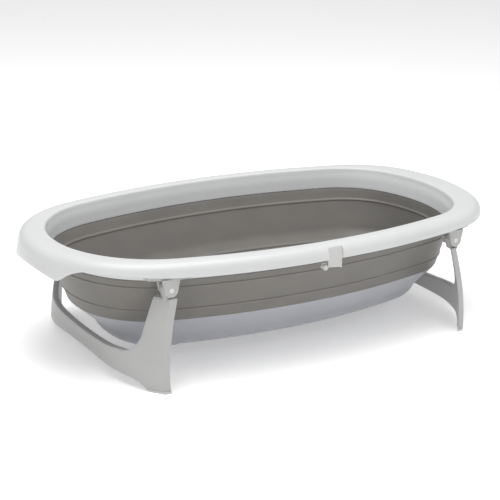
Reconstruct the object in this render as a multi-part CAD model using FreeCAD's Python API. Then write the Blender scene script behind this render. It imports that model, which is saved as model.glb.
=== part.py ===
"""Folding baby bathtub: rigid rim, soft folding wall, rigid tray and two folding leg frames.

Millimetres, +Z up, +X towards the foot end, floor at Z = 0.
"""
import FreeCAD, Part

import math
import os

from FreeCAD import Vector

# ---------------------------------------------------------------- driving dimensions
HANDLE_REACH = 430.0        # handle end of the rim, from the middle of the bowl
FOOT_REACH = 410.0          # foot end of the rim, from the middle of the bowl
RIM_HALF_WIDTH = 233.0
RIM_TOP = 206.0
SKIRT_BOTTOM = 183.0
HANDLE_BOTTOM = 164.0
HANDLE_HALF_SPAN = 95.0
RIM_WALL = 3.0
BOWL_TOP = 168.5            # where the rigid rim meets the soft wall
UPPER_HINGE = 158.0         # fold line under the rim
LOWER_HINGE = 111.0         # fold line above the tray
TRAY_TOP = 89.0             # where the soft wall meets the rigid tray
TRAY_BOTTOM = 24.0
TRAY_EDGE_RADIUS = 36.0
LINER_WALL = 1.4            # the soft wall's liner inside the tray
LINER_STEP = 1.0            # how far inside the wall's face the liner's lap over the tray's edge starts
LINER_LAP = 4.0             # how high that lap is
SOFT_WALL = 2.6
TRAY_WALL = 3.0
HINGE_BEAD = 1.2            # how far a fold line stands out of the wall
BRACKET_X = 273.0           # leg hinge, from the middle of the bowl
BRACKET_Y = 181.0
PIVOT_Z = 163.0
PIN_RADIUS = 4.0
PIN_CLEARANCE = 0.05
LEG_THICKNESS = 11.0
LEG_FOOT_OUT = 33.0         # how far a foot stands outside its hinge
LEG_BOW = 29.0              # how far the cross panel bows out past the hinges
LEG_HALF_WIDTH = 207.0
PAD_HEIGHT = 4.0
DRAIN_X = 215.0
DRAIN_RADIUS = 19.0
SEAT_FLANGE = 5.0           # how far the drain seat's flange reaches past the drain hole
SEAT_RECESS = 1.5           # the flange lies flush in a recess this deep
CLIP_X = 1.0
CLIP_WIDTH = 27.0

SHIFT_X = (HANDLE_REACH - FOOT_REACH) / 2   # puts the origin in the middle of the length


# ---------------------------------------------------------------- plan outlines
class Outline:
    """An egg-shaped plan outline of tangent arcs, the same on both sides of the X axis."""

    def __init__(self, half_width, foot, handle, side, foot_end, foot_corner, handle_end, handle_corner):
        self.half_width = half_width
        self.foot = foot
        self.handle = handle
        self.side = side
        self.foot_end = foot_end
        self.foot_corner = foot_corner
        self.handle_end = handle_end
        self.handle_corner = handle_corner

    def values(self):
        return (self.half_width, self.foot, self.handle, self.side,
                self.foot_end, self.foot_corner, self.handle_end, self.handle_corner)

    def inset(self, distance):
        """The parallel outline that far inside this one."""
        return Outline(*[value - distance for value in self.values()])

    def towards(self, other, share):
        """An outline part of the way from this one to another."""
        return Outline(*[a + (b - a) * share for a, b in zip(self.values(), other.values())])

    def wire(self, z):
        """The closed wire of this outline at a height."""
        side_centre = Vector(0, self.half_width - self.side, 0)
        foot_centre = Vector(self.foot - self.foot_end, 0, 0)
        handle_centre = Vector(self.handle_end - self.handle, 0, 0)
        foot_round = corner_centre(foot_centre, self.foot_end, side_centre, self.side, self.foot_corner, 1)
        handle_round = corner_centre(handle_centre, self.handle_end, side_centre, self.side,
                                     self.handle_corner, -1)
        foot_low = angle_of(foot_round - foot_centre)
        foot_high = angle_of(foot_round - side_centre)
        handle_high = angle_of(handle_round - side_centre)
        handle_low = angle_of(handle_round - handle_centre)
        arcs = [(foot_centre, self.foot_end, -foot_low, foot_low),
                (foot_round, self.foot_corner, foot_low, foot_high),
                (side_centre, self.side, foot_high, handle_high),
                (handle_round, self.handle_corner, handle_high, handle_low),
                (handle_centre, self.handle_end, handle_low, 2 * math.pi - handle_low)]
        for centre, radius, start, end in arcs[3:0:-1]:
            arcs.append((Vector(centre.x, -centre.y, 0), radius, -end, -start))
        return Part.Wire([arc_edge(centre, radius, start, end, z) for centre, radius, start, end in arcs])


def angle_of(vector):
    return math.atan2(vector.y, vector.x)


def corner_centre(end_centre, end_radius, side_centre, side_radius, radius, towards):
    """Centre of the arc that touches an end arc and a side arc from inside."""
    gap = side_centre - end_centre
    span = gap.Length
    reach_end = end_radius - radius
    reach_side = side_radius - radius
    along = (reach_end ** 2 - reach_side ** 2 + span ** 2) / (2 * span)
    across = math.sqrt(reach_end ** 2 - along ** 2)
    unit = gap * (1 / span)
    foot = end_centre + unit * along
    normal = Vector(-unit.y, unit.x, 0)
    choices = [foot + normal * across, foot - normal * across]
    return max(choices, key=lambda point: towards * point.x)


def arc_edge(centre, radius, start, end, z):
    middle = (start + end) / 2
    points = [Vector(centre.x + radius * math.cos(turn), centre.y + radius * math.sin(turn), z)
              for turn in (start, middle, end)]
    return Part.Arc(*points).toShape()


def stack(levels):
    """A solid through outlines at rising heights: levels are (outline, z)."""
    return Part.makeLoft([outline.wire(z) for outline, z in levels], True, True)


def band(levels, thickness):
    """An open-ended wall of that thickness inside a stack."""
    inner = [(outline.inset(thickness), z) for outline, z in levels]
    first_outline, first_z = inner[0]
    last_outline, last_z = inner[-1]
    inner = [(first_outline, first_z - 1)] + inner[1:-1] + [(last_outline, last_z + 1)]
    return stack(levels).cut(stack(inner))


RIM_OUTER = Outline(RIM_HALF_WIDTH, FOOT_REACH, HANDLE_REACH - 4, 1050, 285, 155, 240, 200)
RIM_INNER = Outline(201, 356, 384, 1010, 240, 130, 220, 170)
BOWL = Outline(198, 350, 376, 1000, 235, 125, 215, 165)
TRAY = Outline(163, 339, 347, 980, 225, 105, 205, 125)
TRAY_FLOOR = Outline(132, 306, 303, 940, 200, 85, 190, 90)


def wall_outline(z):
    """The outside of the soft wall at a height, between the rim and the tray."""
    return BOWL.towards(TRAY, (BOWL_TOP - z) / (BOWL_TOP - TRAY_TOP))


# ---------------------------------------------------------------- small helpers
def block(x0, x1, y0, y1, z0, z1):
    return Part.makeBox(x1 - x0, y1 - y0, z1 - z0, Vector(x0, y0, z0))


def rod_y(radius, x, y0, y1, z):
    return Part.makeCylinder(radius, y1 - y0, Vector(x, y0, z), Vector(0, 1, 0))


def rod_z(radius, x, y, z0, z1):
    return Part.makeCylinder(radius, z1 - z0, Vector(x, y, z0))


def flat_shape(points, y0, y1):
    """A plate with an X-Z outline, between two Y values."""
    corners = [Vector(x, y0, z) for x, z in points]
    face = Part.Face(Part.makePolygon(corners + corners[:1]))
    return face.extrude(Vector(0, y1 - y0, 0))


def at_side(shape, side):
    """The shape as drawn for -Y, or mirrored for +Y."""
    if side < 0:
        return shape
    return shape.mirror(Vector(0, 0, 0), Vector(0, 1, 0))


def at_end(shape, end):
    """The shape as drawn for the handle end, or mirrored for the foot end."""
    if end < 0:
        return shape
    return shape.mirror(Vector(0, 0, 0), Vector(1, 0, 0))


def joined(shapes):
    return shapes[0].fuse(shapes[1:]).removeSplitter()


# ---------------------------------------------------------------- rim
SCREW_SPREAD = 21.0
SCREW_Y = 176.0
PLATE_TOP = 185.0
PLATE_BOTTOM = 180.0


def lip_levels(inset, top):
    """The rolled outer edge of the rim, with the handle end pulled out."""
    levels = [(RIM_OUTER.inset(inset), SKIRT_BOTTOM - inset), (RIM_OUTER.inset(inset), RIM_TOP - 11)]
    for turn in (25, 50, 75):
        reach = math.radians(turn)
        levels.append((RIM_OUTER.inset(inset + 9 * (1 - math.cos(reach))),
                       RIM_TOP - 11 + (top - RIM_TOP + 11) * math.sin(reach)))
    levels.append((RIM_OUTER.inset(inset + 10), top))
    return levels


def inner_levels(outset, bottom, top):
    """The inner wall of the rim, which carries the soft wall."""
    return [(BOWL.inset(-outset), bottom), (BOWL.inset(-outset), BOWL_TOP + 2),
            (RIM_INNER.inset(-outset), RIM_TOP - 5), (RIM_INNER.inset(-outset - 3), top)]


def handle_lip():
    """The deep lip at the handle end, open behind for fingers."""
    reach = Outline(RIM_HALF_WIDTH, FOOT_REACH, HANDLE_REACH, 1050, 285, 155, 240, 200)
    levels = [(reach, HANDLE_BOTTOM), (RIM_OUTER, SKIRT_BOTTOM + 2)]
    lip = band(levels, RIM_WALL)
    low = HANDLE_HALF_SPAN - 12
    corners = [Vector(0, -low, HANDLE_BOTTOM - 2), Vector(0, low, HANDLE_BOTTOM - 2),
               Vector(0, HANDLE_HALF_SPAN, HANDLE_BOTTOM + 10), Vector(0, HANDLE_HALF_SPAN + 22, SKIRT_BOTTOM + 3),
               Vector(0, -HANDLE_HALF_SPAN - 22, SKIRT_BOTTOM + 3), Vector(0, -HANDLE_HALF_SPAN, HANDLE_BOTTOM + 10)]
    window = Part.Face(Part.makePolygon(corners + corners[:1])).extrude(Vector(-HANDLE_REACH - 10, 0, 0))
    return lip.common(window)


def screw_places():
    places = []
    for end in (-1, 1):
        for side in (-1, 1):
            for step in (-SCREW_SPREAD, SCREW_SPREAD):
                places.append((end * BRACKET_X + step, side * SCREW_Y))
    return places


def make_rim():
    shell = stack(lip_levels(0, RIM_TOP))
    hollow = stack(lip_levels(RIM_WALL, RIM_TOP - RIM_WALL))
    hollow = hollow.cut(stack(inner_levels(0, SKIRT_BOTTOM - 10, RIM_TOP)))
    collar = stack(inner_levels(0, BOWL_TOP, RIM_TOP - 1))
    mouth = stack(inner_levels(-RIM_WALL, BOWL_TOP - 2, RIM_TOP + 1))
    rim = shell.cut(hollow).fuse([collar, handle_lip()])
    bosses = [rod_z(4.5, x, y, PLATE_TOP, RIM_TOP).common(shell) for x, y in screw_places()]
    rim = rim.fuse(bosses).cut(mouth)
    pilots = [rod_z(2, x, y, PLATE_TOP - 1, PLATE_TOP + 13) for x, y in screw_places()]
    notch = block(CLIP_X - CLIP_WIDTH / 2, CLIP_X + CLIP_WIDTH / 2,
                  -RIM_HALF_WIDTH - 10, -RIM_HALF_WIDTH + 7, SKIRT_BOTTOM - 10, RIM_TOP + 5)
    return rim.cut(pilots + [notch]).removeSplitter()


# ---------------------------------------------------------------- soft wall
def make_upper_band():
    levels = [(wall_outline(UPPER_HINGE), UPPER_HINGE),
              (wall_outline(UPPER_HINGE).inset(-HINGE_BEAD), UPPER_HINGE + 2),
              (wall_outline(UPPER_HINGE + 4), UPPER_HINGE + 4),
              (wall_outline(BOWL_TOP), BOWL_TOP)]
    return band(levels, SOFT_WALL)


def make_fold_band():
    gap = 0.3
    levels = [(wall_outline(LOWER_HINGE), LOWER_HINGE + gap), (wall_outline(UPPER_HINGE), UPPER_HINGE - gap)]
    return band(levels, SOFT_WALL)


def make_lower_band():
    """The soft wall under its lower hinge, lapped over the tray's edge."""
    levels = [(wall_outline(TRAY_TOP), TRAY_TOP),
              (wall_outline(LOWER_HINGE - 4), LOWER_HINGE - 4),
              (wall_outline(LOWER_HINGE).inset(-HINGE_BEAD), LOWER_HINGE - 2),
              (wall_outline(LOWER_HINGE), LOWER_HINGE)]
    lap = [(wall_outline(z).inset(LINER_STEP), z) for z in (TRAY_TOP, TRAY_TOP + LINER_LAP)]
    return joined([band(levels, SOFT_WALL), band(lap, TRAY_WALL + LINER_WALL - LINER_STEP)])


def make_liner():
    """The thin skin of soft wall that lines the tray's side under the lap."""
    tray_inside = tray_levels(TRAY_WALL)[-2:]
    room = block(-500, 500, -300, 300, tray_inside[0][1], TRAY_TOP)
    return band(tray_inside, LINER_WALL).common(room)


# ---------------------------------------------------------------- tray, pads and drain
def tray_levels(inset):
    """The tray's side above a rounded bottom edge."""
    levels = []
    bottom = TRAY_BOTTOM + inset
    radius = TRAY_EDGE_RADIUS - inset
    for turn in (0, 15, 30, 45, 60, 75):
        reach = math.radians(turn)
        levels.append((TRAY_FLOOR.inset(inset + radius * (1 - math.sin(reach)) * 0.9),
                       bottom + radius * (1 - math.cos(reach))))
    levels.append((TRAY.inset(inset), TRAY_TOP + (1 if inset else 0)))
    return levels


def make_tray():
    tray = stack(tray_levels(0)).cut(stack(tray_levels(TRAY_WALL)))
    floor = TRAY_BOTTOM + TRAY_WALL
    drain = rod_z(DRAIN_RADIUS, DRAIN_X, 0, TRAY_BOTTOM - 1, floor + 1)
    recess = rod_z(DRAIN_RADIUS + SEAT_FLANGE, DRAIN_X, 0, floor - SEAT_RECESS, floor + 1)
    return tray.cut(drain).cut(recess).removeSplitter()


def make_tray_pads():
    pads = []
    for x in (-205, 0, 185):
        for y in (-70, 70):
            pads.append(rod_z(11, x, y, TRAY_BOTTOM - 1.5, TRAY_BOTTOM))
    return Part.makeCompound(pads)


def make_drain_seat():
    """A flanged ring that lines the drain hole, flush with the tray's floor."""
    floor = TRAY_BOTTOM + TRAY_WALL
    flange = rod_z(DRAIN_RADIUS + SEAT_FLANGE, DRAIN_X, 0, floor - SEAT_RECESS, floor)
    sleeve = rod_z(DRAIN_RADIUS, DRAIN_X, 0, TRAY_BOTTOM - 5, floor)
    way = rod_z(DRAIN_RADIUS - 3, DRAIN_X, 0, TRAY_BOTTOM - 6, floor + 1)
    return flange.fuse(sleeve).cut(way).removeSplitter()


def make_drain_plug():
    floor = TRAY_BOTTOM + TRAY_WALL
    cap = rod_z(DRAIN_RADIUS + 1, DRAIN_X, 0, floor, floor + 2.5)
    stem = rod_z(DRAIN_RADIUS - 6, DRAIN_X, 0, TRAY_BOTTOM - 4.5, floor)
    grip = block(DRAIN_X - 9, DRAIN_X + 9, -1.5, 1.5, floor + 2.5, floor + 10.5)
    return joined([cap, stem, grip])


def make_plug_seal():
    top = TRAY_BOTTOM + TRAY_WALL - SEAT_RECESS
    ring = rod_z(DRAIN_RADIUS - 3.4, DRAIN_X, 0, top - 3, top)
    return ring.cut(rod_z(DRAIN_RADIUS - 6, DRAIN_X, 0, top - 4, top + 1))


# ---------------------------------------------------------------- leg hinges
CHEEK_GAP = 16.0
CHEEK_WALL = 5.0


def make_bracket(end, side):
    """A plate under the rim with two cheeks that hold the leg's pin, drawn at -X and -Y."""
    outer = -BRACKET_Y - CHEEK_GAP / 2 - CHEEK_WALL
    inner = -BRACKET_Y + CHEEK_GAP / 2 + CHEEK_WALL
    plate = block(-BRACKET_X - 35, -BRACKET_X + 35, outer - 4, inner + 8, PLATE_BOTTOM, PLATE_TOP)
    rim_space = stack([(RIM_OUTER.inset(RIM_WALL + 0.5), z) for z in (PLATE_BOTTOM - 1, PLATE_TOP + 1)])
    collar_space = stack([(RIM_INNER.inset(-0.5), z) for z in (PLATE_BOTTOM - 1, PLATE_TOP + 1)])
    parts = [at_end(at_end(plate, end).common(rim_space).cut(collar_space), end)]
    outline = [(-BRACKET_X - 15, PLATE_BOTTOM + 1), (-BRACKET_X + 15, PLATE_BOTTOM + 1),
               (-BRACKET_X + 11, PIVOT_Z), (-BRACKET_X - 11, PIVOT_Z)]
    for near, far in ((outer, outer + CHEEK_WALL), (inner - CHEEK_WALL, inner)):
        parts.append(flat_shape(outline, near, far))
        parts.append(rod_y(11, -BRACKET_X, near, far, PIVOT_Z))
    bracket = joined(parts).cut(rod_y(PIN_RADIUS, -BRACKET_X, outer - 1, inner + 1, PIVOT_Z))
    holes = [rod_z(2, -BRACKET_X + step, -SCREW_Y, PLATE_BOTTOM - 1, PLATE_TOP + 1)
             for step in (-SCREW_SPREAD, SCREW_SPREAD)]
    return at_end(at_side(bracket.cut(holes), side), end)


def make_pin(end, side):
    half = CHEEK_GAP / 2 + CHEEK_WALL
    return at_end(at_side(rod_y(PIN_RADIUS, -BRACKET_X, -BRACKET_Y - half, -BRACKET_Y + half, PIVOT_Z), side), end)


def make_screws():
    screws = []
    for x, y in screw_places():
        head = rod_z(4, x, y, PLATE_BOTTOM - 2.5, PLATE_BOTTOM)
        shank = rod_z(2, x, y, PLATE_BOTTOM, PLATE_TOP + 12)
        screws.append(head.fuse(shank).removeSplitter())
    return Part.makeCompound(screws)


# ---------------------------------------------------------------- leg frames
SHOULDER = 13.5             # how far under the pin the full width of a column starts
KNUCKLE_RADIUS = 10.0
PANEL_FLAT = 80.0           # half of the straight middle of the cross panel, in plan
PANEL_EDGE = 50.0           # height of the cross panel's top edge in the middle
PANEL_ARCH = 11.0           # height of the cross panel's bottom edge beside the feet
SOLE_TRIM = 2.0             # the sheet runs this far under the floor, where the end view trims it flat


def side_face(offset):
    """A column's side view: X and Z points down one face, bulging outwards."""
    drop = PIVOT_Z - SHOULDER
    points = []
    for step in range(7):
        share = step / 6
        z = drop * (1 - share)
        out = LEG_FOOT_OUT * math.sin(math.radians(90 * min(1.0, 0.09 + share * 0.95))) - 1.5 * share
        points.append((-BRACKET_X - out - offset, z))
    points.append((points[-1][0], -SOLE_TRIM))
    return points


def plan_line():
    """The plan of the frame: straight in the middle and bent round towards the columns."""
    run = BRACKET_Y - PANEL_FLAT
    radius = (run ** 2 + LEG_BOW ** 2) / (2 * LEG_BOW)
    turn = math.asin((LEG_HALF_WIDTH + 4 - PANEL_FLAT) / radius)
    return [Vector(-LEG_BOW + radius * (1 - math.cos(angle)), PANEL_FLAT + radius * math.sin(angle), 0)
            for angle in (0, turn / 2, turn)]


def leg_sweep():
    """The bent sheet that the frame is cut from: the side view carried along the plan."""
    half = LEG_THICKNESS / 2
    bottom, curve, top = plan_line()
    line = Part.makeLine(Vector(bottom.x, -bottom.y, 0), bottom)
    left_arc = Part.Arc(bottom, curve, top).toShape()
    right_arc = Part.Arc(Vector(top.x, -top.y, 0), Vector(curve.x, -curve.y, 0),
                         Vector(bottom.x, -bottom.y, 0)).toShape()
    path_edges = [right_arc, line, left_arc]
    outer = side_face(half)
    inner = side_face(-half)
    return joined([sheet_along(edge, outer, inner) for edge in path_edges])


def sheet_along(edge, outer, inner):
    """One span of the bent sheet, as a loft between copies of the side view."""
    count = 2 if edge.Curve.TypeId == "Part::GeomLine" else 7
    sections = []
    for step in range(count):
        value = edge.FirstParameter + (edge.LastParameter - edge.FirstParameter) * step / (count - 1)
        place = edge.valueAt(value)
        points = [Vector(x + place.x, place.y, z) for x, z in outer + inner[::-1]]
        sections.append(Part.makePolygon(points + points[:1]))
    return Part.makeLoft(sections, True, True)


def end_view():
    """The frame seen from its end: columns, cross panel and feet, with the U opening."""
    top = PIVOT_Z - SHOULDER
    inner_top = 167.0
    outer_top = 195.0
    outline = [(-outer_top, top), (-LEG_HALF_WIDTH + 4, 60), (-LEG_HALF_WIDTH, 0),
               (-LEG_HALF_WIDTH + 24, 0), (-LEG_HALF_WIDTH + 32, PANEL_ARCH)]
    edges = [Part.makeLine(Vector(0, a[0], a[1]), Vector(0, b[0], b[1])) for a, b in zip(outline, outline[1:])]
    edges.append(Part.Arc(Vector(0, -LEG_HALF_WIDTH + 32, PANEL_ARCH), Vector(0, 0, PANEL_ARCH + 10),
                          Vector(0, LEG_HALF_WIDTH - 32, PANEL_ARCH)).toShape())
    mirrored = [(-y, z) for y, z in reversed(outline)]
    edges += [Part.makeLine(Vector(0, a[0], a[1]), Vector(0, b[0], b[1])) for a, b in zip(mirrored, mirrored[1:])]
    edges.append(Part.makeLine(Vector(0, outer_top, top), Vector(0, inner_top, top)))
    edges.append(Part.makeLine(Vector(0, inner_top, top), Vector(0, 164, 92)))
    edges.append(Part.Arc(Vector(0, 164, 92), Vector(0, 153, 66), Vector(0, 124, PANEL_EDGE + 5)).toShape())
    edges.append(Part.Arc(Vector(0, 124, PANEL_EDGE + 5), Vector(0, 0, PANEL_EDGE - 2),
                          Vector(0, -124, PANEL_EDGE + 5)).toShape())
    edges.append(Part.Arc(Vector(0, -124, PANEL_EDGE + 5), Vector(0, -153, 66), Vector(0, -164, 92)).toShape())
    edges.append(Part.makeLine(Vector(0, -164, 92), Vector(0, -inner_top, top)))
    edges.append(Part.makeLine(Vector(0, -inner_top, top), Vector(0, -outer_top, top)))
    face = Part.Face(Part.Wire(Part.sortEdges(edges)[0]))
    return face.extrude(Vector(-420, 0, 0))


def knuckle():
    """The eye at the top of a column, between the bracket's cheeks, drawn at -Y."""
    half = CHEEK_GAP / 2 - 0.5
    eye = rod_y(KNUCKLE_RADIUS, -BRACKET_X, -BRACKET_Y - half, -BRACKET_Y + half, PIVOT_Z)
    neck = flat_shape([(-BRACKET_X - 9, PIVOT_Z), (-BRACKET_X + 9, PIVOT_Z),
                       (-BRACKET_X + 3, PIVOT_Z - SHOULDER - 4), (-BRACKET_X - 9, PIVOT_Z - SHOULDER - 4)],
                      -BRACKET_Y - half, -BRACKET_Y + half)
    return eye.fuse(neck)


def make_leg_frame(end):
    sheet = leg_sweep().common(end_view())
    frame = joined([sheet, knuckle(), at_side(knuckle(), 1)])
    bores = [rod_y(PIN_RADIUS + PIN_CLEARANCE, -BRACKET_X, y - 20, y + 20, PIVOT_Z)
             for y in (-BRACKET_Y, BRACKET_Y)]
    shoes = [shoe_space(side) for side in (-1, 1)]
    return at_end(frame.cut(bores + shoes).removeSplitter(), end)


def shoe_space(side):
    """The slice of a foot that its pad takes the place of, drawn at the handle end."""
    edge = LEG_HALF_WIDTH + 5
    return at_side(block(-BRACKET_X - 60, -BRACKET_X + 10, -edge, -edge + 40, -1, PAD_HEIGHT), side)


def make_foot_pad(end, side):
    pad = leg_sweep().common(end_view()).common(shoe_space(side))
    return at_end(pad, end)


# ---------------------------------------------------------------- side clip
def make_clip():
    """The clip in the notch of the rim, with a small hook for a flannel or a shower hose."""
    x0 = CLIP_X - CLIP_WIDTH / 2 + 0.3
    x1 = CLIP_X + CLIP_WIDTH / 2 - 0.3
    face = -RIM_HALF_WIDTH + 3.5
    plate = flat_shape([(x0, 172), (x0 + 3, 170), (x1 - 4, 168), (x1, 166), (x1, RIM_TOP - 7),
                        (x1 - 5, RIM_TOP - 3), (x0 + 4, RIM_TOP - 3), (x0, RIM_TOP - 6)], face, face + 3.5)
    tongue = block(x0 + 5, x1 - 5, face + 3.5, face + 15, RIM_TOP - RIM_WALL - 5, RIM_TOP - RIM_WALL - 2)
    arm = block(x0 - 9, x0 + 4, face + 3.5, face + 6.5, 168, 178)
    tip = rod_y(4.2, x0 - 6, face - 3, face + 6.5, 171)
    return joined([plate, tongue, arm, tip])


# ---------------------------------------------------------------- output
END_NAMES = {-1: "handle", 1: "foot"}
SIDE_NAMES = {-1: "front", 1: "back"}


def make_nodes():
    nodes = {
        "rim": make_rim(),
        "wall_upper_band": make_upper_band(),
        "wall_fold_band": make_fold_band(),
        "wall_lower_band": make_lower_band(),
        "wall_liner": make_liner(),
        "tray": make_tray(),
        "tray_pads": make_tray_pads(),
        "drain_seat": make_drain_seat(),
        "drain_plug": make_drain_plug(),
        "plug_seal": make_plug_seal(),
        "bracket_screws": make_screws(),
        "side_clip": make_clip(),
    }
    for end, end_name in END_NAMES.items():
        nodes["leg_frame_" + end_name] = make_leg_frame(end)
        for side, side_name in SIDE_NAMES.items():
            place = end_name + "_" + side_name
            nodes["bracket_" + place] = make_bracket(end, side)
            nodes["hinge_pin_" + place] = make_pin(end, side)
            nodes["foot_pad_" + place] = make_foot_pad(end, side)
    return nodes


def main():
    os.makedirs("parts", exist_ok=True)
    for name, shape in make_nodes().items():
        shape.translate(Vector(SHIFT_X, 0, 0))
        shape.exportStep("parts/" + name + ".step")
        box = shape.BoundBox
        print(name, len(shape.Solids), shape.isValid(), round(shape.Volume / 1000, 1),
              [round(v, 1) for v in (box.XMin, box.XMax, box.YMin, box.YMax, box.ZMin, box.ZMax)])


main()
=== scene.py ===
"""Looks of the folding baby bathtub: every visible shell, soft wall, leg and fitting, in metres.

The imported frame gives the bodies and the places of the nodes. Each sub-assembly is a class that models
its own pieces, dresses them and hangs them on the bodies that they move with.
"""
import logging
import math
from contextlib import contextmanager
from dataclasses import astuple, dataclass, field
from enum import Enum
from typing import Any, Callable, Iterator, Sequence

import bmesh
import bpy
from mathutils import Matrix, Vector


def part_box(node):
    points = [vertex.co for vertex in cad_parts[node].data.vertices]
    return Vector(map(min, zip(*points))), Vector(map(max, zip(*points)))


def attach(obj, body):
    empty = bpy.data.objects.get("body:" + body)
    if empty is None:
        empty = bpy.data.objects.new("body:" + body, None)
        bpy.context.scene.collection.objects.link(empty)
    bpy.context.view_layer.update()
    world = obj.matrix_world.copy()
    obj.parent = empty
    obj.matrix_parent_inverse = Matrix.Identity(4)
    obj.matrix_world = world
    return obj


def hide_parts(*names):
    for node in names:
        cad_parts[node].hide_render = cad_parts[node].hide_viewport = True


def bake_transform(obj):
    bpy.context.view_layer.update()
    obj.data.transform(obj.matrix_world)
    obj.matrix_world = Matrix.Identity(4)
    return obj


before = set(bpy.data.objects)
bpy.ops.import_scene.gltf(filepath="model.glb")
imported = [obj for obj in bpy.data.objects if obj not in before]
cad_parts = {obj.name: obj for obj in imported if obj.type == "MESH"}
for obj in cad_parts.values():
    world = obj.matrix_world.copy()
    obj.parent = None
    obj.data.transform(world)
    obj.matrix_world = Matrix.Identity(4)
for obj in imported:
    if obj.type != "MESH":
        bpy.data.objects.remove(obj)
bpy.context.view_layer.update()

log = logging.getLogger("bathtub")

Test = Callable[[Vector], bool]
Rule = Callable[[Vector], Vector]


# ---- modelling by operators
def leave_edit_mode() -> None:
    """Goes back to object mode with nothing selected."""
    if bpy.context.mode != "OBJECT":
        bpy.ops.object.mode_set(mode="OBJECT")
    bpy.ops.object.select_all(action="DESELECT")


def smoothstep(low: float, high: float, value: float) -> float:
    """Rises smoothly from 0 at low to 1 at high."""
    share = min(1.0, max(0.0, (value - low) / (high - low)))
    return share * share * (3 - 2 * share)


def step_in(width: float, rise: float) -> None:
    """Insets the selected faces by a width and lifts them."""
    bpy.ops.mesh.inset(thickness=width)
    bpy.ops.transform.translate(value=(0, 0, rise))


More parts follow.
